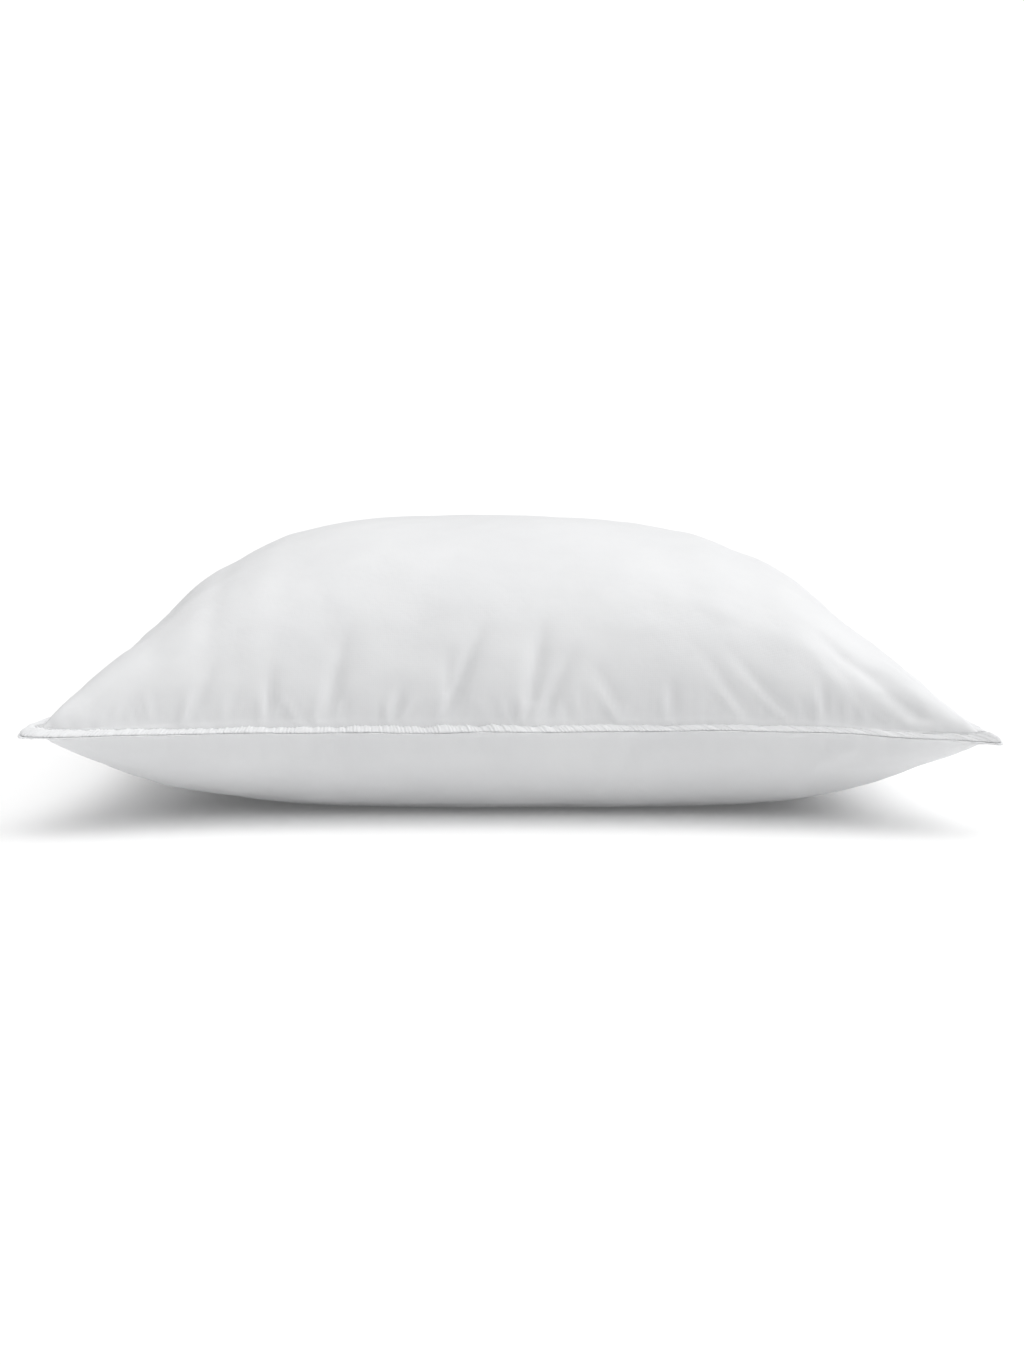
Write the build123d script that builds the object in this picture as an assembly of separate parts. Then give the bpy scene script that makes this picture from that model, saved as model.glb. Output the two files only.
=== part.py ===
from build123d import *
from collections import namedtuple
from math import atan, cos, pi, sin
import os

# Bed pillow in millimetres, +Z up, resting on z = 0 with its centre over the origin.
#
# Two woven panels are sewn together right sides in, turned out through a gap in the back
# seam, and topstitched all round, which leaves a flat flange of four plies.  The cover is
# filled with loose fibre, and the gap is closed by a second row of stitches in the flange.
# X runs along the length, Y from the front to the back edge, where the closed gap is.

# ---- driving dimensions ----
length = 643.0            # between the corners' sharp points, filled
width = 494.0
end_draw = 34.0           # how far the fill draws in the middle of each short end
side_draw = 38.0          # the same at the middle of each long side
draw_power = 2.5          # how late each edge curves back out to its corners
seam_height = 69.0        # seam plane above the rest plane
crown = 129.0             # dome of the upper panel above its flange
crown_shift = 0.074       # lean of the dome towards -X, as a fraction of half its length
belly = 76.5              # depth of the lower panel below its flange, before the floor flattens it
flange_width = 7.0        # edge to topstitch
ply = 0.4                 # one thickness of the woven cover
thread = 0.25             # sewing thread, flattened in its seam

# ---- derived and minor dimensions ----
tip_radius = 2.6          # rounding of a turned corner
allowance = 10.0          # seam allowance folded into the flange, past the topstitch
seam_inset = 1.2          # first seam, from the edge
half_gap = 0.2            # seam plane to the nearest ply
ply_slot = 0.35           # room between the outer ply and the folded allowance
corner_setback = 2.0      # how far the folded plies keep a panel's inside from its corners
thread_lift = 0.03        # between a thread and the ply it lies on
clearance = 0.4           # between the fill and everything round it
fill_ledge = 0.5          # step between the rims of the fill's two halves
closing_length = 190.0    # gap that the pillow was filled through
closing_inset = 2.4       # closing stitch, from the edge
label_width = 32.0
label_drop = 34.0         # hanging length below the seam
label_thickness = 0.3
label_x = -135.0          # centre of the label along the back edge
label_bend = 1.6          # inner radius where the label turns down

base_rise = half_gap + ply + ply_slot + ply    # seam plane to the outside of the flange
upper_base = seam_height + base_rise
lower_base = seam_height - base_rise
topstitch_inset = flange_width - 0.6
edge_points = 17                           # points that carry each edge of an outline
surface_points = 41                        # points along each way of a filled surface

# Fullness of a panel: how square its dome is along and across, and how round its edge is.
Fullness = namedtuple("Fullness", "along_power along_round across_power across_round shift")
upper_fullness = Fullness(3.1, 0.75, 2.2, 0.5, crown_shift)
lower_fullness = Fullness(2.9, 0.45, 3.8, 0.67, 0.0)

Outline = namedtuple("Outline", "half_length half_width end_draw side_draw")


def cover_outline(inset):
    """The cover's drawn-in rectangle, moved in from its edge by inset."""
    half_length, half_width = length / 2, width / 2
    end_lean = atan(draw_power * end_draw / half_width)
    side_lean = atan(draw_power * side_draw / half_length)
    spread = cos(end_lean + side_lean)
    corner_x = half_length - inset * (cos(side_lean) + sin(end_lean)) / spread
    corner_y = half_width - inset * (cos(end_lean) + sin(side_lean)) / spread
    return Outline(
        corner_x,
        corner_y,
        corner_x - (half_length - end_draw - inset),
        corner_y - (half_width - side_draw - inset),
    )


def outline_point(outline, u, v):
    """Where u along and v across, each from -1 to 1, fall inside an outline."""
    x = u * (outline.half_length - outline.end_draw * (1 - abs(v) ** draw_power))
    y = v * (outline.half_width - outline.side_draw * (1 - abs(u) ** draw_power))
    return x, y


def edge_curve(outline, start, end):
    """One edge of an outline, from corner (u, v) to corner (u, v)."""
    points = []
    for index in range(edge_points):
        along = index / (edge_points - 1)
        u = start[0] + along * (end[0] - start[0])
        v = start[1] + along * (end[1] - start[1])
        points.append(outline_point(outline, u, v))
    return Spline(*points)


def outline_face(inset):
    """Flat face inside the cover's outline at that inset, with the corners' rounding."""
    outline = cover_outline(inset)
    corners = [(-1, -1), (1, -1), (1, 1), (-1, 1)]
    edges = [edge_curve(outline, corners[i], corners[(i + 1) % 4]) for i in range(4)]
    face = make_face(edges)
    radius = tip_radius - inset
    if radius > 0.2:
        face = fillet(face.vertices(), radius)
    return face


def corners_set_back(outline, setback):
    """The same outline with its corners moved in, where the folded plies crowd them."""
    return Outline(*(size - setback for size in outline))


def ring(outer_inset, inner_inset, low, high):
    """Flat band between two insets of the outline, from height low to height high."""
    band = outline_face(outer_inset) - outline_face(inner_inset)
    return extrude(Pos(0, 0, low) * band, high - low)


def dome(outline, base, height, fullness):
    """Closed solid from the flat outline at base to the filled panel; height < 0 bulges down."""
    steps = [sin(pi * (index / (surface_points - 1) - 0.5)) for index in range(surface_points)]
    rows = []
    for u in steps:
        row = []
        for v in steps:
            x, y = outline_point(outline, u, v)
            leaning = min(1.0, max(-1.0, u + fullness.shift * (1 - u * u)))
            rise_along = max(0.0, 1 - abs(leaning) ** fullness.along_power) ** fullness.along_round
            rise_across = max(0.0, 1 - abs(v) ** fullness.across_power) ** fullness.across_round
            row.append((x, y, base + height * rise_along * rise_across))
        rows.append(row)
    surface = Face.make_surface_from_array_of_points(rows, tol=0.02)
    floor = Face(Wire(surface.edges()))
    return Solid(Shell([surface, floor]))


def above(solid, height):
    """The part of a solid above a level, which leaves it a flat underside there."""
    reach = 2 * length
    return solid & Pos(0, 0, height + reach / 2) * Box(reach, reach, reach)


def flange_plies(seam_side):
    """Outer ply, folded allowance and the turned edge between them, above (1) or below (-1)."""
    near = seam_height + seam_side * half_gap
    far = seam_height + seam_side * base_rise
    folded = ring(0, allowance, *sorted((near, near + seam_side * ply)))
    turned = ring(0, ply, *sorted((near, far)))
    outer = ring(0, flange_width + 3 * ply, *sorted((far - seam_side * ply, far)))
    return folded + turned + outer


def panel_shell(base, height, fullness, floor):
    """One ply of cloth over a dome that stands on the flange, cut flat where it meets the floor."""
    outer_outline = cover_outline(flange_width)
    inner_outline = corners_set_back(cover_outline(flange_width + ply), corner_setback)
    inner_height = height - ply if height > 0 else height + ply
    outside = dome(outer_outline, base, height, fullness)
    inside = dome(inner_outline, base, inner_height, fullness)
    if height < 0:
        outside, inside = above(outside, floor), above(inside, floor + ply)
    return outside - inside


def upper_cover_panel():
    """Woven shell of the upper half with its two plies of the flange."""
    return panel_shell(upper_base, crown, upper_fullness, 0) + flange_plies(1)


def lower_cover_panel():
    """Woven shell of the lower half, flattened where it rests, with its plies of the flange."""
    return panel_shell(lower_base, -belly, lower_fullness, 0) + flange_plies(-1)


def fibre_fill():
    """Loose fibre as one body, just clear of both panels and of the allowances' edges."""
    inset = allowance + 2 * thread + clearance
    rim = corners_set_back(cover_outline(inset), corner_setback)
    lower_rim = corners_set_back(cover_outline(inset + fill_ledge), corner_setback)
    room = ply + clearance
    top = dome(rim, seam_height - fill_ledge, crown + base_rise - room, upper_fullness)
    bottom = dome(lower_rim, seam_height + fill_ledge, room - belly - base_rise, lower_fullness)
    return above(top + bottom, room)


def seam_thread(inset, low):
    """One thread of an all-round row of stitches, lying on a ply."""
    return ring(inset, inset + 2 * thread, low, low + thread)


def edge_seam_threads():
    """Needle and bobbin thread of the first seam, hidden between each panel's two plies."""
    ply_face = half_gap + ply + thread_lift
    needle = seam_thread(seam_inset, seam_height + ply_face)
    bobbin = seam_thread(seam_inset, seam_height - ply_face - thread)
    return needle, bobbin


def topstitch_threads():
    """Needle and bobbin thread of the row that holds the flange flat."""
    needle = seam_thread(topstitch_inset, upper_base + thread_lift)
    bobbin = seam_thread(topstitch_inset, lower_base - thread_lift - thread)
    return needle, bobbin


def closing_threads():
    """Needle and bobbin thread of the row that closes the filling gap at the back."""
    window = Pos(0, width / 2, seam_height) * Box(closing_length, width / 4, flange_width)
    needle = seam_thread(closing_inset, upper_base + thread_lift) & window
    bobbin = seam_thread(closing_inset, lower_base - thread_lift - thread) & window
    return needle, bobbin


def overlock_thread():
    """Thread bound over the raw edges of both allowances, inside the cover."""
    inset = allowance + clearance / 2
    reach = half_gap + ply
    return ring(inset, inset + 2 * thread, seam_height - reach, seam_height + reach)


def care_label():
    """Blank folded tape, caught in the back seam and hanging from the flange."""
    outline = cover_outline(0)
    far_side = (abs(label_x) + label_width / 2) / outline.half_length
    _, edge_y = outline_point(outline, far_side, 1)
    hang_y = edge_y + label_bend + label_thickness
    caught = (edge_y - flange_width / 2, seam_height)
    corner = (hang_y, seam_height)
    hem = (hang_y, seam_height - label_drop)
    strip = trace(FilletPolyline(caught, corner, hem, radius=label_bend), label_thickness)
    return Plane.YZ.offset(label_x - label_width / 2) * extrude(strip, label_width)


def main():
    edge_needle, edge_bobbin = edge_seam_threads()
    top_needle, top_bobbin = topstitch_threads()
    closing_needle, closing_bobbin = closing_threads()
    parts = {
        "upper_cover_panel": upper_cover_panel(),
        "lower_cover_panel": lower_cover_panel(),
        "fibre_fill": fibre_fill(),
        "edge_seam_needle_thread": edge_needle,
        "edge_seam_bobbin_thread": edge_bobbin,
        "overlock_thread": overlock_thread(),
        "topstitch_needle_thread": top_needle,
        "topstitch_bobbin_thread": top_bobbin,
        "closing_needle_thread": closing_needle,
        "closing_bobbin_thread": closing_bobbin,
        "care_label": care_label(),
    }
    os.makedirs("parts", exist_ok=True)
    for node, solid in parts.items():
        export_step(solid, f"parts/{node}.step")


if __name__ == "__main__":
    main()
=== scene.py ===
import math

import bpy
import numpy as np
from mathutils.bvhtree import BVHTree
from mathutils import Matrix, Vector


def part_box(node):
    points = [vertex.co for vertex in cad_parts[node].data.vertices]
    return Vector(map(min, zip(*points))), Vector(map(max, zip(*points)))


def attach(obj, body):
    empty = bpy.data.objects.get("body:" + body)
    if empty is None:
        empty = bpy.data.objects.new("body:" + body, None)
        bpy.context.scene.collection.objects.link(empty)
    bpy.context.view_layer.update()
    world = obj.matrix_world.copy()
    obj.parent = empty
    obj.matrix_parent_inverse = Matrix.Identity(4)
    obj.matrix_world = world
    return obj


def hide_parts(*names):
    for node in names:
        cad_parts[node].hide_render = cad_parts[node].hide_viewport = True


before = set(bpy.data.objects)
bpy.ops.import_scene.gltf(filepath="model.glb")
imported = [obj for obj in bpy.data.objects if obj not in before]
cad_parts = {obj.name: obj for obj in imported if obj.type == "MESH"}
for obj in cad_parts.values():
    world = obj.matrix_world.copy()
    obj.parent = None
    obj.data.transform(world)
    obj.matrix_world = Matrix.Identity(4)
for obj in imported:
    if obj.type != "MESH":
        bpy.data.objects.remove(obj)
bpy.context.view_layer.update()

# ---------------------------------------------------------------- sizes, in metres
MM = 0.001
SEAM_HEIGHT = 0.069  # the plane that the two panels are sewn together in, above the floor
STITCH_LINE = (0.3114, 0.2373, 0.279, 0.201)  # half length and width at the corners, then at mid-edge
OUTER_EDGE = (0.3215, 0.2470, 0.2872, 0.2088)  # the same for the edge of the flange
DRAW_POWER = 2.5  # how evenly the sides draw in between the corners
FLANGE = 7.0 * MM  # its width
PITCH = 2.4 * MM  # one stitch
PER_STITCH = 4  # columns of the flange mesh in each stitch
RIB_LEAN = 0.55  # how far a pucker runs sideways for each metre outwards
TIP = 7.0 * MM  # how far before each corner the flange's edge begins to turn
STITCH_TURN = 1.2 * MM  # the same for the stitch line
SEWN_FLAT = (0.646, 0.494)  # inside the stitching

# Each dome: rise, power and roundness along, power and roundness across, shift of the crown towards -X.
UPPER = (0.1312, 2.79, 0.62, 2.2, 0.40, 0.084)
LOWER = (-0.0752, 3.03, 0.42, 5.0, 0.60, -0.027)
# Where the upper panel swells or sinks along its length: place, height, width.
SWELLS = [
    (-0.297, 2.4 * MM, 0.010), (-0.243, -2.0 * MM, 0.016), (-0.203, -1.2 * MM, 0.009),
    (-0.172, 1.0 * MM, 0.012), (0.140, 1.6 * MM, 0.018), (0.192, 1.4 * MM, 0.014),
    (0.238, -2.6 * MM, 0.018), (0.303, 2.6 * MM, 0.011),
]
CELLS = (248, 186)  # of a panel's grid
TRIM = 2  # rings of the grid that the finer sewn edge takes the place of

rng = np.random.default_rng(20)


def ramp(value, start, end):
    """0 up to start, 1 from end on, and a smooth climb between them."""
    t = np.clip((value - start) / (end - start), 0, 1)
    return t * t * (3 - 2 * t)


def bell(t):
    return np.exp(-t * t)


# ---------------------------------------------------------------- the pillow's shape
def outline(u, v, reach):
    """Point of the drawn-in outline at u along and v across, each from -1 to 1."""
    length, width, mid_length, mid_width = reach
    x = u * (length - (length - mid_length) * (1 - np.abs(v) ** DRAW_POWER))
    y = v * (width - (width - mid_width) * (1 - np.abs(u) ** DRAW_POWER))
    return np.stack([x, y], -1)


def even_steps(count, half, rise, power, round_):
    """Values of u or v that step evenly along the arc through the middle of a panel."""
    f = np.sin(np.linspace(-np.pi / 2, np.pi / 2, 4001))
    z = rise * (1 - np.abs(f) ** power).clip(0) ** round_
    s = np.concatenate([[0], np.cumsum(np.hypot(np.diff(f * half), np.diff(z)))])
    return np.interp(np.linspace(0, s[-1], count + 1), s, f)


def plump(shape, cells, reach=STITCH_LINE, rest=0.0):
    """Grid of points on one panel, with its u and v."""
    rise, ap, ar, cp, cr, shift = shape
    U = even_steps(cells[0], reach[2], abs(rise), ap, ar)
    V = even_steps(cells[1], reach[3], abs(rise), cp, cr)
    u, v = np.meshgrid(U, V, indexing="ij")
    xy = outline(u, v, reach)
    dome = (1 - np.abs(u + shift * (1 - u * u)) ** ap).clip(0) ** ar * (1 - np.abs(v) ** cp).clip(0) ** cr
    z = np.maximum(SEAM_HEIGHT + rise * dome, rest)
    return np.concatenate([xy, z[..., None]], -1), u, v


def normals(P, sign):
    n = np.cross(np.gradient(P, axis=0), np.gradient(P, axis=1)) * sign
    return n / np.linalg.norm(n, axis=-1, keepdims=True).clip(1e-12)


def from_edges(P):
    """How far each point is from the front, back, left and right seams, along the cloth."""
    dx = np.linalg.norm(np.diff(P, axis=0), axis=-1)
    dy = np.linalg.norm(np.diff(P, axis=1), axis=-1)
    zx, zy = np.zeros((1, P.shape[1])), np.zeros((P.shape[0], 1))
    front = np.concatenate([zy, np.cumsum(dy, 1)], 1)
    left = np.concatenate([zx, np.cumsum(dx, 0)], 0)
    return {"front": front, "back": front[:, -1:] - front, "left": left, "right": left[-1:] - left}


FOLD_DEPTH = 2.3  # times a fold's marked depth
RIDGE_PLACE, RIDGE_WIDTH = -1.35, 0.75  # of the ridge beside a fold, in widths of the fold


def crease(along, up, at, lean, reach, width, depth, start=0.0):
    """A soft valley that climbs from the seam, and the ridge that stands beside it at the stitching."""
    d = (along - at - lean * up) / (width * (0.65 + 0.7 * up / reach))  # it widens as it climbs
    climb = reach - start
    grows = ramp(up - start, -0.003, 0.004) * (1 - ramp(up - start, 0.35 * climb, climb))
    ridge = bell((d - RIDGE_PLACE) / RIDGE_WIDTH) * min(1.0, depth / MM) * min(1.0, 0.006 / width)
    return -FOLD_DEPTH * depth * np.exp(-np.abs(d) ** 1.6) * grows, ridge


def lumps(P, count, short, long, draw):
    """Slow uneven swelling of the fibre under the cloth, from -1 to 1 or so."""
    total = np.zeros(P.shape[:-1])
    for _ in range(count):
        way = draw.normal(size=3)
        way *= 2 * np.pi / draw.uniform(short, long) / np.linalg.norm(way)
        total += np.cos(P @ way + draw.uniform(0, 2 * np.pi))
    return total / math.sqrt(count / 2)


# Folds that climb from the front seam, seen one by one in the photograph: place along it, lean towards
# +X, reach, width, depth and, for some, how far up they start.
FRONT_FOLDS = [
    (-0.292, 0.80, 0.050, 0.0060, 0.0004),
    (-0.262, 0.50, 0.045, 0.0055, 0.0004),
    (-0.2328, -0.18, 0.036, 0.0032, 0.0006),
    (-0.2156, 0.36, 0.060, 0.0055, 0.0012),
    (-0.188, 0.15, 0.034, 0.0040, 0.0005),
    (-0.1614, 0.02, 0.052, 0.0045, 0.0019),
    (-0.1554, 0.22, 0.022, 0.0030, 0.0007),
    (-0.1349, -0.53, 0.020, 0.0035, 0.0008),
    (-0.1266, 0.23, 0.085, 0.0060, 0.0018),
    (-0.1213, 0.15, 0.047, 0.0038, 0.0014, 0.006),
    (-0.1111, 0.00, 0.028, 0.0036, 0.0012),
    (-0.0812, 0.26, 0.038, 0.0042, 0.0010),
    (-0.0722, 0.52, 0.020, 0.0035, 0.0008),
    (-0.0464, 0.38, 0.082, 0.0052, 0.0026),
    (-0.0424, 0.01, 0.062, 0.0045, 0.0011, 0.024),
    (-0.0361, 0.26, 0.020, 0.0032, 0.0006),
    (0.0030, -0.26, 0.022, 0.0032, 0.0006),
    (0.0105, 0.15, 0.090, 0.0064, 0.0021, 0.018),
    (0.0180, 0.42, 0.062, 0.0054, 0.0023),
    (0.0511, -0.13, 0.035, 0.0040, 0.0006),
    (0.0798, -0.53, 0.055, 0.0055, 0.0009, 0.014),
    (0.1082, -0.01, 0.042, 0.0045, 0.0012),
    (0.1637, -0.69, 0.070, 0.0065, 0.0008),
    (0.1929, -0.87, 0.060, 0.0055, 0.0008, 0.010),
    (0.2098, -0.06, 0.042, 0.0042, 0.0009, 0.006),
    (0.2493, -0.70, 0.085, 0.0050, 0.0002),
    (0.2810, -0.93, 0.105, 0.0115, 0.0010, 0.010),
]
# The same for the lower panel, whose folds run down from the front seam.
LOWER_FOLDS = [
    (-0.225, -0.20, 0.040, 0.0070, 0.0005),
    (-0.120, 0.20, 0.042, 0.0060, 0.0009),
    (-0.105, 0.35, 0.030, 0.0050, 0.0006),
    (-0.020, 0.05, 0.030, 0.0070, 0.0004),
    (0.058, 0.10, 0.040, 0.0070, 0.0006),
    (0.082, -0.15, 0.045, 0.0080, 0.0007),
    (0.190, 0.20, 0.040, 0.0070, 0.0005),
]

# Each seam, the axis that it runs along and how far it is creased to either side of its middle.
SIDES = (("front", 0, 0.30), ("back", 0, 0.30), ("left", 1, 0.225), ("right", 1, 0.225))
GATHER_WIDTH = 3.2 * MM
POCKET = 3.2 * MM  # how far the upper panel sinks beside a seam, between two gathers
LOWER_POCKET = 0.3 * POCKET


def seeded_folds(draw):
    """Folds of the three sides that the photograph hides, then small gathers on all four."""
    folds = []
    for side, axis, half in SIDES[1:]:
        at = -half
        while at < half:
            turned = -0.9 * at / half + draw.normal(0, 0.12)  # folds near a corner lean in towards it
            reach, width = draw.uniform(0.03, 0.09), draw.uniform(0.0045, 0.0075)
            folds.append((side, axis, at, turned, reach, width, draw.uniform(0.0006, 0.0018)))
            at += draw.uniform(0.018, 0.042)
    for side, axis, half in SIDES:
        at = -half
        while at < half:
            reach, tilt = draw.uniform(0.010, 0.030), draw.normal(0, 0.35)
            folds.append((side, axis, at, tilt, reach, GATHER_WIDTH, draw.uniform(0.0001, 0.0004)))
            at += draw.uniform(0.006, 0.013)
    return folds


def creased(P, sign, by_hand, draw, wrinkles):
    """The panel with its folds, gathers and lumps, each moved along the cloth's own normal."""
    edges = from_edges(P)
    # the second distance is small only near a corner
    nearest, second = np.sort(np.stack(list(edges.values())), 0)[:2]
    if sign > 0:
        for place, height, width in SWELLS:
            P[..., 2] += height * bell((P[..., 0] - place) / width) * ramp(nearest, 0, 0.012)
    out, ridges = np.zeros(P.shape[:2]), np.zeros(P.shape[:2])
    for side, axis, *marks in [("front", 0, *marks) for marks in by_hand] + seeded_folds(draw):
        valley, ridge = crease(P[..., axis], edges[side], *marks)
        out += valley
        ridges = np.maximum(ridges, ridge * (1 - ramp(edges[side], 0.02, 0.04)))
    # pockets beside the seam, but none in the corners
    beside = ramp(nearest, -0.001, 0.009) * (1 - ramp(nearest, 0.009, 0.035))
    out -= (POCKET if sign > 0 else LOWER_POCKET) * beside * (1 - ridges) * ramp(second, 0.02, 0.07)
    # the fibre's lumps, and small unevenness of the cloth
    out += 0.60 * MM * lumps(P, 14, 0.08, 0.18, draw) * ramp(nearest, 0, 0.05)
    out += 0.12 * MM * lumps(P, 24, 0.018, 0.045, draw) * ramp(nearest, 0, 0.02)
    # the cloth run's wrinkles, held back at the front, on the crown and in the corners
    front = 1 - ramp(edges["front"], 0, 0.12)
    crown = ramp(nearest, 0.05, 0.15)
    share = (0.7 - 0.35 * front) * (1 - 0.75 * crown) * (0.2 + 0.8 * ramp(second, 0.04, 0.10))
    out += wrinkles * ramp(nearest, 0.003, 0.015) * share
    # close to the stitching the cloth can sink a little but has no room to swell
    deepest = 0.6 * MM + 0.37 * nearest
    swollen = out * ramp(nearest, 0, 0.022)
    sunk = -deepest * np.tanh(-out / deepest) * ramp(nearest, -0.002, 0.004)
    return P + normals(P, sign) * np.where(out > 0, swollen, sunk)[..., None]


# ---------------------------------------------------------------- cloth simulation
CLOTH_CELL = 8.0 * MM
CLOTH_FRAMES = 14
WRINKLE_BLUR = 18.0 * MM  # only what is finer than this is kept


def blurred(F, sigma):
    """Gaussian blur of a grid that keeps a straight slope straight up to the border."""
    half = int(4 * sigma)
    weights = np.exp(-0.5 * (np.arange(-half, half + 1) / sigma) ** 2)
    weights /= weights.sum()
    for axis in (0, 1):
        F = np.moveaxis(F, axis, 0)
        before, after = 2 * F[:1] - F[half:0:-1], 2 * F[-1:] - F[-2 : -half - 2 : -1]
        padded = np.concatenate([before, F, after])
        F = sum(w * padded[k : k + len(F)] for k, w in enumerate(weights))
        F = np.moveaxis(F, 0, axis)
    return F


def resampled(F, cells):
    """A coarse grid of heights on a grid of so many cells."""
    for axis, count in enumerate(cells):
        old, new = np.linspace(0, 1, F.shape[axis]), np.linspace(0, 1, count + 1)
        F = np.apply_along_axis(lambda line: np.interp(new, old, line), axis, F)
    return blurred(F, 1.6)


def inflated():
    """Two flat panels sewn round their border and blown up on the floor, as Blender's Cloth makes them.

    Gives the wrinkles of the upper and the lower panel, as heights above the smooth shape."""
    nu, nv = (int(round(f / CLOTH_CELL)) for f in SEWN_FLAT)
    u, v = np.meshgrid(np.linspace(-1, 1, nu + 1), np.linspace(-1, 1, nv + 1), indexing="ij")
    draw = np.random.default_rng(3)
    lift = 0.010 * (1 - u * u) * (1 - v * v)
    x, y = u * SEWN_FLAT[0] / 2, v * SEWN_FLAT[1] / 2
    top, base = (
        np.stack([x, y, way * lift + draw.normal(0, 0.3 * MM, u.shape)], -1) for way in (1, -1)
    )
    cover, a, b = closed_skin("cloth_run", top, base)
    ground = flat_square("cloth_ground", 1.0, -SEAM_HEIGHT)
    ground.modifiers.new("stop", "COLLISION")
    ground.collision.thickness_outer = 1.0 * MM
    cloth = cover.modifiers.new("cloth", "CLOTH")
    set_ = cloth.settings
    set_.quality, set_.mass, set_.air_damping = 5, 0.005, 1.0
    set_.tension_stiffness = set_.compression_stiffness = 60
    set_.shear_stiffness, set_.bending_stiffness = 18, 0.02
    set_.tension_damping = set_.compression_damping = set_.shear_damping = set_.bending_damping = 0.5
    set_.use_pressure, set_.uniform_pressure_force = True, 4.0
    set_.effector_weights.gravity = 0
    cloth.collision_settings.distance_min = 1.5 * MM
    for frame_number in range(1, CLOTH_FRAMES + 1):
        bpy.context.scene.frame_set(frame_number)
    shaped = cover.evaluated_get(bpy.context.evaluated_depsgraph_get())
    P = np.zeros(len(cover.data.vertices) * 3)
    shaped.data.vertices.foreach_get("co", P)
    P = P.reshape(-1, 3)
    for o in (cover, ground):
        data = o.data
        bpy.data.objects.remove(o)
        bpy.data.meshes.remove(data)
    bpy.context.scene.frame_set(1)
    heights = []
    for index, sign in ((a, 1), (b, -1)):
        G = P[index]
        once = blurred(G, WRINKLE_BLUR / CLOTH_CELL)
        rough = G - 2 * once + blurred(once, WRINKLE_BLUR / CLOTH_CELL)
        heights.append((rough * normals(once, sign)).sum(-1))
    return heights


# ---------------------------------------------------------------- the sewn edge
def edge_loop():
    """Dense samples round the stitch line: distance along it, its points, and the outer edge's points."""
    t = np.linspace(-1, 1, 1501)[:-1]
    one = np.ones_like(t)
    u = np.concatenate([t, one, -t, -one, [-1.0]])
    v = np.concatenate([-one, t, one, -t, [-1.0]])
    inner, outer = outline(u, v, STITCH_LINE), outline(u, v, OUTER_EDGE)
    s = np.concatenate([[0], np.cumsum(np.linalg.norm(np.diff(inner, axis=0), axis=1))])
    return s, inner, outer, s[:: len(t)]


LOOP_S, LOOP_IN, LOOP_OUT, CORNERS = edge_loop()
AROUND = LOOP_S[-1]
STITCHES = int(round(AROUND / PITCH))
COLUMNS = STITCHES * PER_STITCH
STATIONS = np.arange(COLUMNS) * AROUND / COLUMNS


def along_loop(s, points):
    s = np.mod(s, AROUND)
    return np.stack([np.interp(s, LOOP_S, points[:, k]) for k in range(points.shape[1])], -1)


def from_corners(s):
    """How far past each of the four corners the loop is at s, and less than 0 before one."""
    return np.mod(s[..., None] - CORNERS[:4] + AROUND / 2, AROUND) - AROUND / 2


def rounded(s, points, turn):
    """Points of the loop with its four corners turned on a small curve."""
    p = along_loop(s, points)
    for corner, away in zip(CORNERS, from_corners(s).T):
        near = np.abs(away) < turn
        t = ((away[near] + turn) / (2 * turn))[:, None]
        a, b, c = (along_loop(np.array([corner + k * turn]), points) for k in (-1, 0, 1))
        p[near] = (1 - t) ** 2 * a + 2 * t * (1 - t) * b + t * t * c
    return p


# Marks round the loop, side by side from the front left corner: part of the side, value.
DROOP = (  # of the flange, in degrees
    [(0.0, 4), (0.03, 9), (0.12, 7), (0.17, 2), (0.30, 2), (0.38, 8), (0.52, 8), (0.62, 4),
     (0.80, 3), (0.90, 6), (0.97, 6)],
    [(0.0, 7), (0.03, 0), (0.08, -12), (0.18, -8), (0.3, 4), (0.5, 2), (0.7, 8), (0.95, 5)],
    [(0.0, 8), (0.15, 12), (0.4, 5), (0.6, 10), (0.85, 3)],
    [(0.0, 8), (0.3, 3), (0.5, 9), (0.75, 2), (0.86, -14), (0.94, -24), (0.985, -8)],
)
RISE = (  # of the seam, in millimetres
    [(0.0, -1.1), (0.11, -2.6), (0.27, -3.6), (0.42, -3.4), (0.49, -3.0), (0.60, -3.1), (0.70, -2.0),
     (0.80, -1.9), (0.85, -2.4), (0.91, -3.8), (0.96, -4.5)],
    [(0.0, -5.0), (0.06, -1.8), (0.12, 0.8), (0.3, 1.0), (0.6, -0.5), (0.85, 0.6)],
    [(0.0, -2.0), (0.2, -3.0), (0.45, -2.0), (0.7, -3.2), (0.9, -2.5)],
    [(0.0, -1.5), (0.2, 0.5), (0.5, -0.5), (0.75, 0.8), (0.90, 2.4), (0.97, 0.6)],
)


def marked(sides, soften=25):
    """Values at even stations round the loop, from marks on its four sides."""
    at, values = [], []
    for start, end, marks in zip(CORNERS, CORNERS[1:], sides):
        at += [start + part * (end - start) for part, _ in marks]
        values += [value for _, value in marks]
    line = np.interp(MARK_STATIONS, at, values, period=AROUND)
    window = np.hanning(soften)
    return np.convolve(np.tile(line, 3), window / window.sum(), "same")[len(line) : 2 * len(line)]


MARK_STATIONS = np.linspace(0, AROUND, 2400, endpoint=False)
DROOP_SLOPE = np.tan(np.radians(marked(DROOP)))
WAVES = 29  # small even waves of the seam, all the way round
RISE_LINE = marked(RISE) * MM + 0.25 * MM * np.sin(2 * np.pi * MARK_STATIONS / AROUND * WAVES + 2.2)


def rise(s):
    """How far the seam lies above its level plane."""
    return np.interp(np.mod(s, AROUND), MARK_STATIONS, RISE_LINE, period=AROUND)


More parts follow.
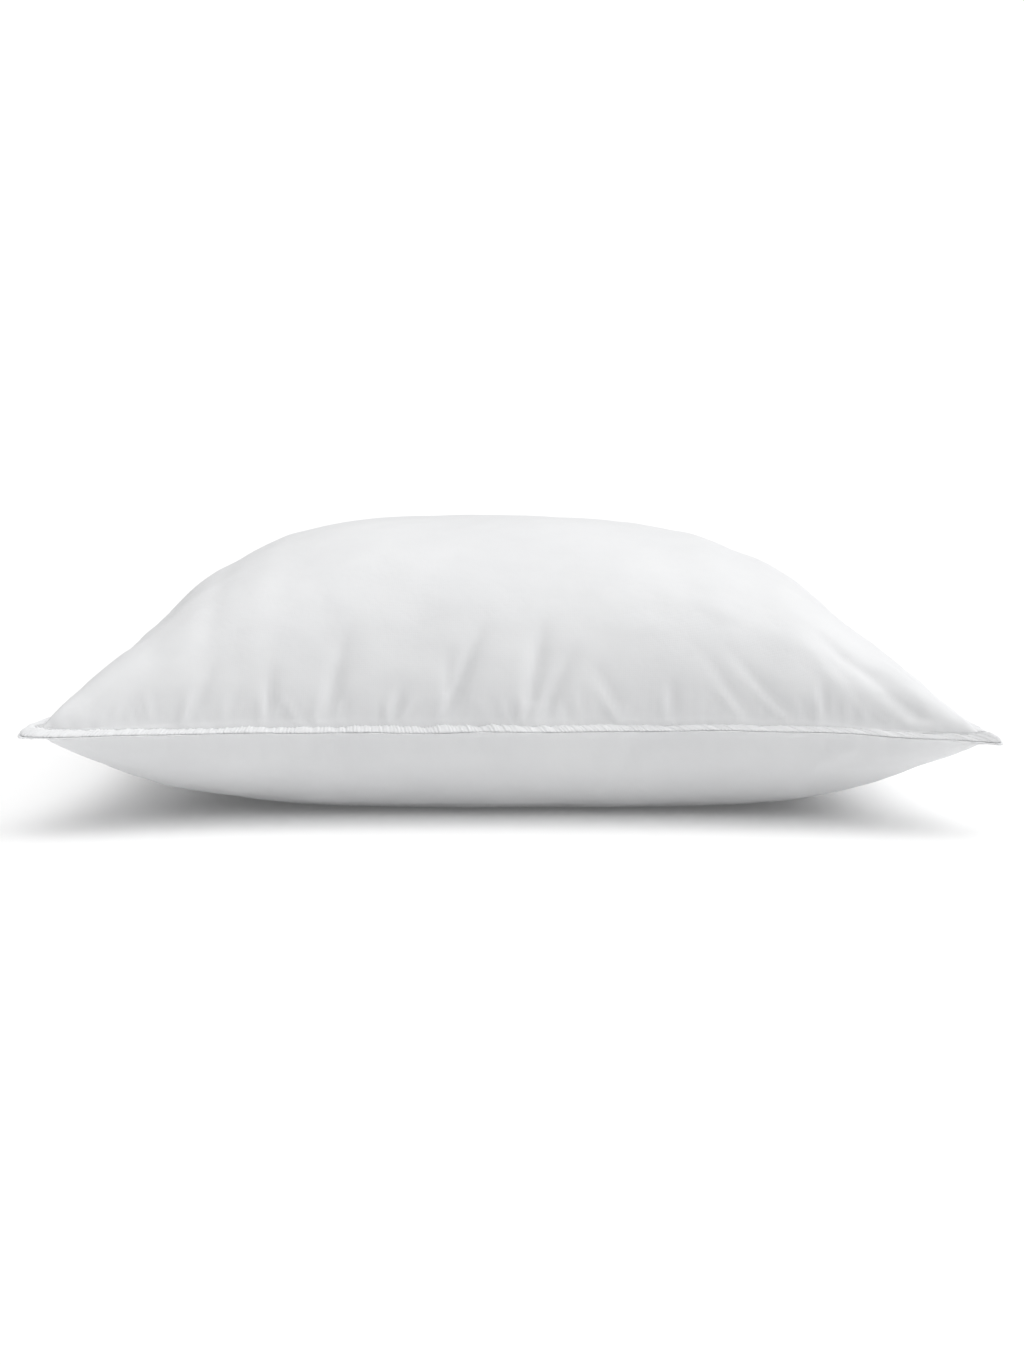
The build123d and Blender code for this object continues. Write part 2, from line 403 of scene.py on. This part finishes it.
def bulk(s):
    """How much thicker the flange is where the turned layers bunch up inside the four tips."""
    return 1 + 0.55 * bell(from_corners(s) / 0.010).sum(-1)


def flange_point(s, out, height):
    """Point of the flange: distance round, distance out from the stitch line, height above its middle."""
    s = np.broadcast_to(s, np.broadcast(s, out).shape)
    out = np.broadcast_to(out, s.shape)
    t = (out / FLANGE)[:, None]
    xy = rounded(s, LOOP_IN, STITCH_TURN) * (1 - t) + rounded(s, LOOP_OUT, TIP) * t
    slope = np.interp(np.mod(s, AROUND), MARK_STATIONS, DROOP_SLOPE, period=AROUND)
    z = SEAM_HEIGHT + rise(s) + height - np.maximum(out, 0) * slope
    return np.concatenate([xy, z[:, None]], 1)


# Rows of the flange, outwards from the stitch line, in millimetres: out, height, rib, hole.
UPPER_ROWS = [
    (-0.10, 3.60, 0.25, 0.0), (-0.02, 2.95, 0.5, 0.1), (0.12, 2.35, 0.3, 1.0), (0.65, 2.75, 0.9, 0.3),
    (1.3, 3.00, 1.0, 0.0), (2.4, 2.90, 1.0, 0.0), (3.8, 2.45, 1.0, 0.0), (5.3, 1.90, 0.9, 0.0),
    (6.3, 1.30, 0.7, 0.0), (6.85, 0.75, 0.4, 0.0), (6.85, 0.34, 0.2, 0.0), (6.3, 0.16, 0.0, 0.0),
    (4.0, 0.10, 0.0, 0.0),
]
LOWER_ROWS = [
    (-0.10, 1.90, 0.2, 0.0), (-0.02, 1.10, 0.4, 0.1), (0.10, 0.50, 0.2, 0.8), (0.8, 0.58, 0.6, 0.2),
    (2.0, 0.68, 0.7, 0.0), (3.8, 0.70, 0.6, 0.0), (5.8, 0.66, 0.5, 0.0), (7.0, 0.60, 0.4, 0.0),
    (7.7, 0.42, 0.3, 0.0), (7.85, 0.18, 0.2, 0.0), (7.4, -0.02, 0.0, 0.0), (5.0, 0.05, 0.0, 0.0),
]
RIB_PROFILE = np.array([-1.0, 0.15, 1.0, 0.2])  # over the columns of one stitch
RIB_HIGH, GATHER_HIGH, HOLE_DEEP = 0.36, 0.30, 0.8  # all in millimetres, like the rows
GATHER_STITCHES = 2.6  # stitches to a gather
ROW_STEP = 0.0035  # how much further out each row lies in the flat weave
SCALLOPED = 5  # rows further out than this wander in and out with the puckers


def ribbing(draw):
    """How high each column of the flange stands on its pucker, and the slower unevenness of the puckers."""
    strength = (0.8 + 0.3 * draw.normal(size=STITCHES)).clip(0.2, 1.6)
    ribs = (strength[:, None] * RIB_PROFILE).ravel()
    ripple = np.zeros(STITCHES)
    for width, share in ((3, 0.45), (7, 0.55), (25, 0.4)):
        window = np.hanning(width + 2)
        window /= np.sqrt((window**2).sum())
        rough = np.convolve(np.tile(draw.normal(size=STITCHES), 3), window, "same")
        ripple += share * rough[STITCHES : 2 * STITCHES]
    stations = np.arange(COLUMNS) / PER_STITCH
    return ribs, np.interp(stations, np.arange(STITCHES), ripple, period=STITCHES)


def flange_rows(rows, sign, ribs, ripple):
    """Grid of flange points, one row after another, all the way round."""
    grid = []
    hole = np.tile([1.0, 0, 0, 0], STITCHES)
    # the needle turns in one larger hole at each corner
    hole += 1.6 * bell(from_corners(STATIONS) / (0.9 * MM)).sum(-1)
    places = np.arange(COLUMNS) / PER_STITCH
    gathers = np.cos(2 * np.pi * places / GATHER_STITCHES + 1.5 * np.sin(places / 9.0) + 2.1 * ripple)
    for out, height, rib, depth in rows:
        lift = height * (1 + 0.16 * rib * ripple) + rib * (RIB_HIGH * ribs + GATHER_HIGH * gathers)
        lift -= HOLE_DEEP * depth * hole
        reach = out + (0.18 * ribs + 0.30 * ripple) * (out > SCALLOPED) * (height > 0.18)
        s = STATIONS + RIB_LEAN * max(out, 0) * MM
        grid.append(flange_point(s, reach * MM, sign * lift * MM * bulk(s)))
    return np.array(grid)


# ---------------------------------------------------------------- meshes
def mesh_object(name, points, faces, uv=None, shade=True):
    mesh = bpy.data.meshes.new(name)
    mesh.from_pydata(np.asarray(points).tolist(), [], faces)
    mesh.polygons.foreach_set("use_smooth", [shade] * len(mesh.polygons))
    if uv is not None:
        layer = mesh.uv_layers.new(name="cloth")
        loops = np.zeros(len(mesh.loops), dtype=np.int32)
        mesh.loops.foreach_get("vertex_index", loops)
        layer.data.foreach_set("uv", np.asarray(uv)[loops].ravel())
    mesh.update()
    obj = bpy.data.objects.new(name, mesh)
    bpy.context.scene.collection.objects.link(obj)
    return obj


def quads(index, flip=False):
    q = np.stack([index[:-1, :-1], index[1:, :-1], index[1:, 1:], index[:-1, 1:]], -1).reshape(-1, 4)
    return (q[:, ::-1] if flip else q).tolist()


def closed_skin(name, top, base):
    """One mesh of two grids of points that share their border, and the two grids of indices."""
    a = np.arange(top[..., 0].size).reshape(top.shape[:2])
    inside = np.zeros(a.shape, bool)
    inside[1:-1, 1:-1] = True
    b = a.copy()
    b[inside] = a.size + np.arange(inside.sum())
    points = np.concatenate([top.reshape(-1, 3), base[inside]])
    return mesh_object(name, points, quads(a) + quads(b, True)), a, b


def flat_square(name, half, height, shade=True):
    corners = [(-half, -half, height), (half, -half, height), (half, half, height), (-half, half, height)]
    return mesh_object(name, corners, [(0, 1, 2, 3)], shade=shade)


def ring_of(index):
    """Indices round the border of a grid, anticlockwise from its lowest corner."""
    return np.concatenate([index[:-1, 0], index[-1, :-1], index[:0:-1, -1], index[0, :0:-1]])


def zip_loops(a, a_at, b, b_at, flip):
    """Triangles between two closed loops of points, each with its place along the same round."""
    faces, i, j = [], 0, 0
    na, nb = len(a), len(b)
    while i < na or j < nb:
        next_a = a_at[i + 1] if i + 1 < na else (AROUND + a_at[0] if i < na else math.inf)
        next_b = b_at[j + 1] if j + 1 < nb else (AROUND + b_at[0] if j < nb else math.inf)
        if next_a <= next_b:
            face = (a[i % na], b[j % nb], a[(i + 1) % na])
            i += 1
        else:
            face = (a[i % na], b[j % nb], b[(j + 1) % nb])
            j += 1
        faces.append(face[::-1] if flip else face)
    return faces


def panel(name, shape, sign, by_hand, rows, wrinkles, draw):
    """A cover panel: the creased dome on a grid, and its sewn edge on finer rows that join it."""
    P, u, v = plump(shape, CELLS)
    steps = (np.linspace(-f / 2, f / 2, c + 1) for f, c in zip(SEWN_FLAT, CELLS))
    flat = np.stack(np.meshgrid(*steps, indexing="ij"), -1)
    near = np.minimum.reduce(list(from_edges(P).values()))
    side = np.maximum(np.abs(u), np.abs(v)).clip(1e-6)
    P[..., 2] += rise(border_place(u / side, v / side)) * (1 - ramp(near, 0, 0.05))
    P = creased(P, sign, by_hand, draw, wrinkles)
    P[..., 2] = P[..., 2].clip(0.0)
    keep = (slice(TRIM, -TRIM), slice(TRIM, -TRIM))
    inner = np.arange(P[keep][..., 0].size).reshape(P[keep].shape[:2])
    ribs, ripple = ribbing(draw)
    strip = flange_rows(rows, sign, ribs, ripple)
    strip_index = inner.size + np.arange(len(rows) * COLUMNS).reshape(len(rows), COLUMNS)
    wrapped = np.concatenate([strip_index, strip_index[:, :1]], 1)
    # where the grid's border points sit along the loop
    border = ring_of(inner)
    ub, vb = u[keep].ravel()[border], v[keep].ravel()[border]
    side = np.maximum(np.abs(ub), np.abs(vb))
    at = border_place(ub / side, vb / side)
    turn = int(np.argmin(at))
    border, at = np.roll(border, -turn), np.roll(at, -turn)
    faces = quads(inner, sign < 0)
    faces += zip_loops(border.tolist(), at.tolist(), strip_index[0].tolist(), STATIONS.tolist(), sign < 0)
    faces += quads(wrapped, sign < 0)
    points = np.concatenate([P[keep].reshape(-1, 3), strip.reshape(-1, 3)])
    edge_flat = along_loop(STATIONS, LOOP_IN) * (np.array(SEWN_FLAT) / 2 / np.array(STITCH_LINE[:2]))
    strip_flat = np.stack([edge_flat * (1 + ROW_STEP * k) for k in range(len(rows))])
    uv = np.concatenate([flat[keep].reshape(-1, 2), strip_flat.reshape(-1, 2)])
    return mesh_object(name, points, faces, uv)


def border_place(u, v):
    """Distance round the loop of border points given by u and v."""
    part = np.where(
        v <= -1 + 1e-9,
        (u + 1) / 2,
        np.where(u >= 1 - 1e-9, 1 + (v + 1) / 2, np.where(v >= 1 - 1e-9, 2 + (1 - u) / 2, 3 + (1 - v) / 2)),
    )
    return np.interp(part, np.linspace(0, 4, len(LOOP_S)), LOOP_S)


def tubes(name, paths, radius, sides=6, closed=False):
    """One mesh of round threads along the given paths, all with the same number of points."""
    P = np.asarray(paths)
    count, n = P.shape[:2]
    ahead, behind = np.roll(P, -1, 1), np.roll(P, 1, 1)
    if not closed:
        ahead[:, -1], behind[:, 0] = P[:, -1], P[:, 0]
    way = ahead - behind
    way /= np.linalg.norm(way, axis=-1, keepdims=True)
    across = np.cross(way, [0.0, 0.0, 1.0])
    across /= np.linalg.norm(across, axis=-1, keepdims=True).clip(1e-9)
    upward = np.cross(across, way)
    angle = np.linspace(0, 2 * np.pi, sides, endpoint=False)
    radius = np.broadcast_to(radius, P.shape[:2])
    rings = P[:, :, None] + radius[:, :, None, None] * (
        np.cos(angle)[:, None] * across[:, :, None] + np.sin(angle)[:, None] * upward[:, :, None]
    )
    index = np.arange(count * n * sides).reshape(count, n, sides)
    a = index if not closed else np.concatenate([index, index[:, :1]], 1)
    a = np.concatenate([a, a[:, :, :1]], 2)
    q = np.stack([a[:, :-1, :-1], a[:, :-1, 1:], a[:, 1:, 1:], a[:, 1:, :-1]], -1).reshape(-1, 4).tolist()
    if not closed:
        q += index[:, 0].tolist() + index[:, -1, ::-1].tolist()
    return mesh_object(name, rings.reshape(-1, 3), q)


# ---------------------------------------------------------------- materials
def material(name, rough, sheen=0.0):
    mat = bpy.data.materials.new(name)
    mat.use_nodes = True
    tree = mat.node_tree
    shader = tree.nodes["Principled BSDF"]
    shader.inputs["Roughness"].default_value = rough
    shader.inputs["Specular IOR Level"].default_value = 0.25
    shader.inputs["Sheen Weight"].default_value = sheen
    shader.inputs["Sheen Roughness"].default_value = 0.5
    return mat, tree, shader


def node(tree, kind, **inputs):
    n = tree.nodes.new(kind)
    for key, value in inputs.items():
        n.inputs[key.replace("_", " ")].default_value = value
    return n


def varied_colour(tree, shader, coords, scale, low, high):
    """Slow patches of colour between low and high."""
    noise = node(tree, "ShaderNodeTexNoise", Scale=scale, Detail=4.0, Roughness=0.6)
    mix = tree.nodes.new("ShaderNodeValToRGB")
    for stop, position, colour in zip(mix.color_ramp.elements, (0.3, 0.7), (low, high)):
        stop.position, stop.color = position, (*colour, 1)
    tree.links.new(coords, noise.inputs["Vector"])
    tree.links.new(noise.outputs["Fac"], mix.inputs["Fac"])
    tree.links.new(mix.outputs["Color"], shader.inputs["Base Color"])


def bump(tree, height, distance, strength, before=None):
    b = node(tree, "ShaderNodeBump", Strength=strength, Distance=distance)
    tree.links.new(height, b.inputs["Height"])
    if before is not None:
        tree.links.new(before, b.inputs["Normal"])
    return b.outputs["Normal"]


def weave(tree, coords, threads):
    """Height of a plain weave with so many threads to the metre."""
    waves = []
    for direction in ("X", "Y"):
        w = node(tree, "ShaderNodeTexWave", Scale=threads / math.tau * 0.5, Distortion=0.6, Detail=1.0)
        w.bands_direction = direction
        tree.links.new(coords, w.inputs["Vector"])
        waves.append(w)
    m = tree.nodes.new("ShaderNodeMath")
    m.operation = "MAXIMUM"
    for k, w in enumerate(waves):
        tree.links.new(w.outputs["Fac"], m.inputs[k])
    return m.outputs[0]


def cotton():
    mat, tree, shader = material("percale_cotton", 0.85, sheen=0.12)
    uv = tree.nodes.new("ShaderNodeUVMap")
    uv.uv_map = "cloth"
    place = tree.nodes.new("ShaderNodeTexCoord")
    varied_colour(tree, shader, place.outputs["Object"], 14.0, (0.795, 0.80, 0.81), (0.83, 0.835, 0.842))
    crinkle = node(tree, "ShaderNodeTexNoise", Scale=170.0, Detail=5.0, Roughness=0.55)
    tree.links.new(place.outputs["Object"], crinkle.inputs["Vector"])
    n = bump(tree, crinkle.outputs["Fac"], 0.00035, 0.5)
    n = bump(tree, weave(tree, uv.outputs["UV"], 3200), 0.00006, 0.5, n)
    tree.links.new(n, shader.inputs["Normal"])
    return mat


def fibre():
    mat, tree, shader = material("polyester_fibre", 0.95, sheen=0.3)
    place = tree.nodes.new("ShaderNodeTexCoord")
    varied_colour(tree, shader, place.outputs["Object"], 60.0, (0.80, 0.80, 0.79), (0.90, 0.90, 0.89))
    strands = node(tree, "ShaderNodeTexNoise", Scale=420.0, Detail=8.0, Roughness=0.7, Distortion=2.5)
    tree.links.new(place.outputs["Object"], strands.inputs["Vector"])
    tree.links.new(bump(tree, strands.outputs["Fac"], 0.002, 0.8), shader.inputs["Normal"])
    return mat


def thread():
    mat, tree, shader = material("cotton_thread", 0.6, sheen=0.1)
    place = tree.nodes.new("ShaderNodeTexCoord")
    varied_colour(tree, shader, place.outputs["Object"], 90.0, (0.80, 0.805, 0.81), (0.87, 0.87, 0.875))
    twist = node(tree, "ShaderNodeTexWave", Scale=1500.0, Distortion=1.0)
    twist.bands_direction = "DIAGONAL"
    tree.links.new(place.outputs["Object"], twist.inputs["Vector"])
    tree.links.new(bump(tree, twist.outputs["Fac"], 0.00005, 0.6), shader.inputs["Normal"])
    return mat


def satin():
    mat, tree, shader = material("satin_tape", 0.38, sheen=0.2)
    shader.inputs["Anisotropic"].default_value = 0.5
    uv = tree.nodes.new("ShaderNodeUVMap")
    uv.uv_map = "cloth"
    place = tree.nodes.new("ShaderNodeTexCoord")
    varied_colour(tree, shader, place.outputs["Object"], 40.0, (0.82, 0.82, 0.81), (0.87, 0.87, 0.86))
    tree.links.new(bump(tree, weave(tree, uv.outputs["UV"], 6000), 0.00004, 0.5), shader.inputs["Normal"])
    return mat


def plain_floor():
    mat, tree, shader = material("pale_floor", 0.9)
    shader.inputs["Specular IOR Level"].default_value = 0.0
    shader.inputs["Base Color"].default_value = (0.93, 0.93, 0.93, 1)
    shader.inputs["Emission Color"].default_value = (1, 1, 1, 1)
    shader.inputs["Emission Strength"].default_value = 0.05
    return mat


def dress(obj, mat, cad):
    """Material, body and CAD node of one visible piece."""
    obj.data.materials.append(mat)
    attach(obj, "root")
    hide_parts(cad)


# ---------------------------------------------------------------- building
COTTON, FIBRE, THREAD, SATIN = cotton(), fibre(), thread(), satin()

wrinkles = [resampled(field, CELLS) for field in inflated()]
upper = panel("upper_panel", UPPER, 1, FRONT_FOLDS, UPPER_ROWS, wrinkles[0], rng)
lower = panel("lower_panel", LOWER, -1, LOWER_FOLDS, LOWER_ROWS, wrinkles[1], rng)
dress(upper, COTTON, "upper_cover_panel")
dress(lower, COTTON, "lower_cover_panel")

FILL_GAP = 4.0 * MM  # from the smooth dome to the fibre
TUCK = 2.0 * MM  # the fibre stays at least this far inside the creased cloth


def tucked(P, n, cover):
    """The fibre, pressed in wherever the cover's folds and seams come down on it."""
    cloth = BVHTree.FromObject(cover, bpy.context.evaluated_depsgraph_get())
    start = 12 * MM
    press = np.zeros(P.shape[:2])
    for k in np.ndindex(press.shape):
        distance = cloth.ray_cast(P[k] + start * n[k], -n[k], 2 * start)[3]
        if distance is not None:
            press[k] = max(0.0, TUCK - start + distance)
    rows, columns = press.shape
    padded = np.pad(press, 1)
    around = [padded[i : i + rows, j : j + columns] for i in range(3) for j in range(3)]
    return P - n * np.maximum.reduce(around)[..., None]


def filling():
    """The fibre as one closed, softly tufted body that follows the inside of the cover."""
    cells = tuple(c // 2 for c in CELLS)
    shy = tuple(r - FILL_GAP for r in STITCH_LINE)
    top, _, _ = plump(UPPER, cells, shy)
    base, _, _ = plump(LOWER, cells, shy, rest=FILL_GAP)
    draw = np.random.default_rng(5)
    halves = []
    for P, sign, cover in ((top, 1, upper), (base, -1, lower)):
        near = np.minimum.reduce(list(from_edges(P).values()))
        tuft = 0.6 * MM * lumps(P, 30, 0.012, 0.035, draw) - FILL_GAP
        n = normals(P, sign)
        halves.append(tucked(P + n * (tuft * ramp(near, 0, 0.02))[..., None], n, cover))
    return closed_skin("fibre_filling", *halves)[0]


fill = filling()
dress(fill, FIBRE, "fibre_fill")

# A stitch lies in the groove and dives into the hole at either end: part of the pitch, millimetres up.
STITCH_ARC = np.array([(0.06, -0.25), (0.16, 0.0), (0.35, 0.14), (0.65, 0.14), (0.84, 0.0), (0.94, -0.25)])
STITCH_JITTER = 0.04 * MM
THREAD_RADIUS, HIDDEN_RADIUS = 0.17 * MM, 0.12 * MM


def stitch_paths(count, start, out, height, sign, draw):
    """Paths of so many stitches, from start on, on the upper or the lower side of the flange."""
    first = start + np.arange(count) * AROUND / STITCHES
    paths = []
    for part, lift in STITCH_ARC:
        s = first + part * PITCH + draw.normal(0, STITCH_JITTER, count)
        paths.append(flange_point(s, np.full(count, out), sign * (height + lift * MM)))
    return np.stack(paths, 1)


def sewn_row(name, count, start, out, height, sign, cad, draw, extra=()):
    """One side of a row of lockstitches as separate loops of thread."""
    paths = list(stitch_paths(count, start, out, height, sign, draw)) + list(extra)
    dress(tubes(name, paths, THREAD_RADIUS), THREAD, cad)


def loose_end(x, reach, turn):
    """A short thread tail that stands out of the front seam and curls over."""
    front = LOOP_S < CORNERS[1]
    s = LOOP_S[int(np.argmin(np.abs(LOOP_IN[front, 0] - x)))]
    root = flange_point(np.array([s]), 2.0 * MM, 2.6 * MM)[0]
    t = np.linspace(0, 1, len(STITCH_ARC))[:, None]
    falls = t**2.5 * (1 + abs(turn))
    return root + reach * np.concatenate([turn * t * t, -0.8 * t, 0.9 * t - falls], 1)


LOOSE_ENDS = [
    loose_end(-0.114, 4.5 * MM, -0.5),
    loose_end(-0.077, 5.0 * MM, 0.9),
    loose_end(0.163, 3.5 * MM, 0.4),
]
sewn_row(
    "topstitch_needle", STITCHES, 0, 0.30 * MM, 2.60 * MM, 1, "topstitch_needle_thread", rng, LOOSE_ENDS
)
sewn_row("topstitch_bobbin", STITCHES, 0, 0.10 * MM, 0.55 * MM, -1, "topstitch_bobbin_thread", rng)
# the gap in the back seam that the cover was turned and filled through, and its stitches
CLOSING_START, CLOSING = CORNERS[2] + 0.215, int(0.190 / PITCH)
sewn_row("closing_needle", CLOSING, CLOSING_START, 4.6 * MM, 2.35 * MM, 1, "closing_needle_thread", rng)
sewn_row("closing_bobbin", CLOSING, CLOSING_START, 4.6 * MM, 1.05 * MM, -1, "closing_bobbin_thread", rng)


def hidden_thread(name, out, height, wave, times, cad):
    """A thread inside the flange that winds round its line so many times."""
    turn = 2 * np.pi * times * STATIONS / AROUND
    path = flange_point(STATIONS, out + wave * np.cos(turn), height + wave * np.sin(turn))
    obj = tubes(name, path[None], HIDDEN_RADIUS, sides=5, closed=True)
    dress(obj, THREAD, cad)


hidden_thread("seam_needle", 5.6 * MM, 0.45 * MM, 0.05 * MM, 900, "edge_seam_needle_thread")
hidden_thread("seam_bobbin", 5.6 * MM, -0.40 * MM, 0.05 * MM, 900, "edge_seam_bobbin_thread")
hidden_thread("overlock", -2.6 * MM, 0.0, 0.55 * MM, 450, "overlock_thread")


LABEL_ROWS, LABEL_COLUMNS = 60, 25
LABEL_THICK = 0.12 * MM


def care_label():
    """The folded tape that hangs from the back seam, and its flat size."""
    low, high = (np.array(c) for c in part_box("care_label"))
    middle, half = (low[0] + high[0]) / 2, (high[0] - low[0]) / 2
    along_back = (LOOP_S >= CORNERS[2]) & (LOOP_S < CORNERS[3])
    edge = np.interp(middle, *zip(*sorted((p[0], p[1]) for p in LOOP_OUT[along_back][::50])))
    back = [k for k in range(COLUMNS) if CORNERS[2] < STATIONS[k] < CORNERS[3]]
    beside = min(back, key=lambda k: abs(np.interp(STATIONS[k], LOOP_S, LOOP_OUT[:, 0]) - middle))
    leaves = SEAM_HEIGHT + float(rise(STATIONS[beside]))
    drop = leaves - low[2]
    t = np.linspace(0, 1, LABEL_ROWS)
    # the path in millimetres outwards and down: out of the seam, over the lip, down, round the bottom
    # fold and back
    marks = np.array([
        (-4.0, 0.0), (0.3, 0.35), (1.6, 3.0), (2.3, 12.0), (2.9, 24.0),
        (2.9, drop / MM - 2.0), (2.5, drop / MM - 0.6), (2.0, drop / MM - 0.3), (1.5, drop / MM - 0.9),
        (1.3, drop / MM - 4.0), (1.1, 20.0), (0.9, 9.0), (0.45, 2.6), (0.0, 0.9), (-4.0, 0.25),
    ])
    along = np.concatenate([[0], np.cumsum(np.linalg.norm(np.diff(marks, axis=0), axis=1))])
    path = np.stack([np.interp(t * along[-1], along, marks[:, k]) for k in (0, 1)], -1)
    for _ in range(3):
        path[1:-1] = 0.25 * path[:-2] + 0.5 * path[1:-1] + 0.25 * path[2:]
    T, W = np.meshgrid(np.arange(LABEL_ROWS), np.linspace(-1, 1, LABEL_COLUMNS), indexing="ij")
    out, down = path[T, 0] * MM, path[T, 1] * MM
    curl = ramp(down, 0.006, 0.026) * (1.2 * MM * W * W + 0.7 * MM * np.sin(2.6 * W + 0.5))
    points = np.stack([middle + half * W, edge + out + curl, leaves - down], -1)
    skin = normals(points, 1) * LABEL_THICK / 2
    grid = np.concatenate([points + skin, (points - skin)[:, ::-1]], 1)
    a = np.arange(grid.shape[0] * grid.shape[1]).reshape(grid.shape[:2])
    a = np.concatenate([a, a[:, :1]], 1)
    length = along[-1] * MM
    uv = np.stack([np.concatenate([W * half, W[:, ::-1] * half], 1),
                   np.repeat(t[:, None] * length, 2 * LABEL_COLUMNS, 1)], -1)
    ends = [a[0, :-1].tolist(), a[-1, -2::-1].tolist()]
    obj = mesh_object("care_label_tape", grid.reshape(-1, 3), quads(a) + ends, uv.reshape(-1, 2))
    return obj, (2 * half, length)


label, label_flat = care_label()
dress(label, SATIN, "care_label")

# ---------------------------------------------------------------- floor, light and camera
FLOOR_HALF = 14.0
floor = flat_square("studio_floor", FLOOR_HALF, 0.0, shade=False)
floor.data.materials.append(plain_floor())

world = bpy.data.worlds.new("studio")
bpy.context.scene.world = world
world.use_nodes = True
tree = world.node_tree
tree.nodes.clear()
# A dim even sky with a large light overhead and weak ones from the right and from behind. The camera
# itself sees white.
SKY_LOW, SKY_HIGH, SKY_POWER, SKY_TOP = 0.085, 2.66, 4.0, (0.21, -0.03, 0.977)
SIDE_HIGH, SIDE_WAY = 0.60, (0.93, -0.30, 0.20)
BACK_HIGH, BACK_WAY = 0.15, (-0.50, 0.82, 0.28)
WEAK_POWER = 2.0
SEEN_WHITE = 1.05
where = tree.nodes.new("ShaderNodeTexCoord")


def maths(operation, a, b):
    """A Math node between two sockets or plain numbers."""
    m = tree.nodes.new("ShaderNodeMath")
    m.operation = operation
    for k, value in enumerate((a, b)):
        if isinstance(value, float):
            m.inputs[k].default_value = value
        else:
            tree.links.new(value, m.inputs[k])
    return m.outputs[0]


def lobe(way, power, strength):
    """Light that is brightest from one direction and fades round the sky."""
    dot = node(tree, "ShaderNodeVectorMath")
    dot.operation = "DOT_PRODUCT"
    dot.inputs[1].default_value = way
    tree.links.new(where.outputs["Generated"], dot.inputs[0])
    return maths("MULTIPLY", maths("POWER", maths("MAXIMUM", dot.outputs["Value"], 0.0), power), strength)


lit = maths("ADD", lobe(SKY_TOP, SKY_POWER, SKY_HIGH), lobe(SIDE_WAY, WEAK_POWER, SIDE_HIGH))
lit = maths("ADD", lit, lobe(BACK_WAY, WEAK_POWER, BACK_HIGH))
glow = node(tree, "ShaderNodeBackground", Color=(1, 1, 1, 1))
seen = node(tree, "ShaderNodeBackground", Color=(1, 1, 1, 1), Strength=SEEN_WHITE)
ray = tree.nodes.new("ShaderNodeLightPath")
pick = tree.nodes.new("ShaderNodeMixShader")
end = tree.nodes.new("ShaderNodeOutputWorld")
for a, b in (
    (maths("ADD", lit, SKY_LOW), glow.inputs["Strength"]),
    (ray.outputs["Is Camera Ray"], pick.inputs[0]),
    (glow.outputs[0], pick.inputs[1]),
    (seen.outputs[0], pick.inputs[2]),
    (pick.outputs[0], end.inputs["Surface"]),
):
    tree.links.new(a, b)
bpy.context.scene.view_settings.view_transform = "Standard"

CAMERA_TARGET = (0.00085, 0.0, 0.0729)
CAMERA_DISTANCE, CAMERA_TILT = 1.6534, 0.123
camera_data = bpy.data.cameras.new("camera")
camera_data.lens, camera_data.sensor_width = 57.18, 36.0
camera_data.clip_start, camera_data.clip_end = 0.05, 100.0
camera = bpy.data.objects.new("camera", camera_data)
camera.location = (
    CAMERA_TARGET[0],
    CAMERA_TARGET[1] - CAMERA_DISTANCE * math.cos(CAMERA_TILT),
    CAMERA_TARGET[2] + CAMERA_DISTANCE * math.sin(CAMERA_TILT),
)
camera.rotation_euler = (math.pi / 2 - CAMERA_TILT, 0, 0)
bpy.context.scene.collection.objects.link(camera)
bpy.context.scene.camera = camera
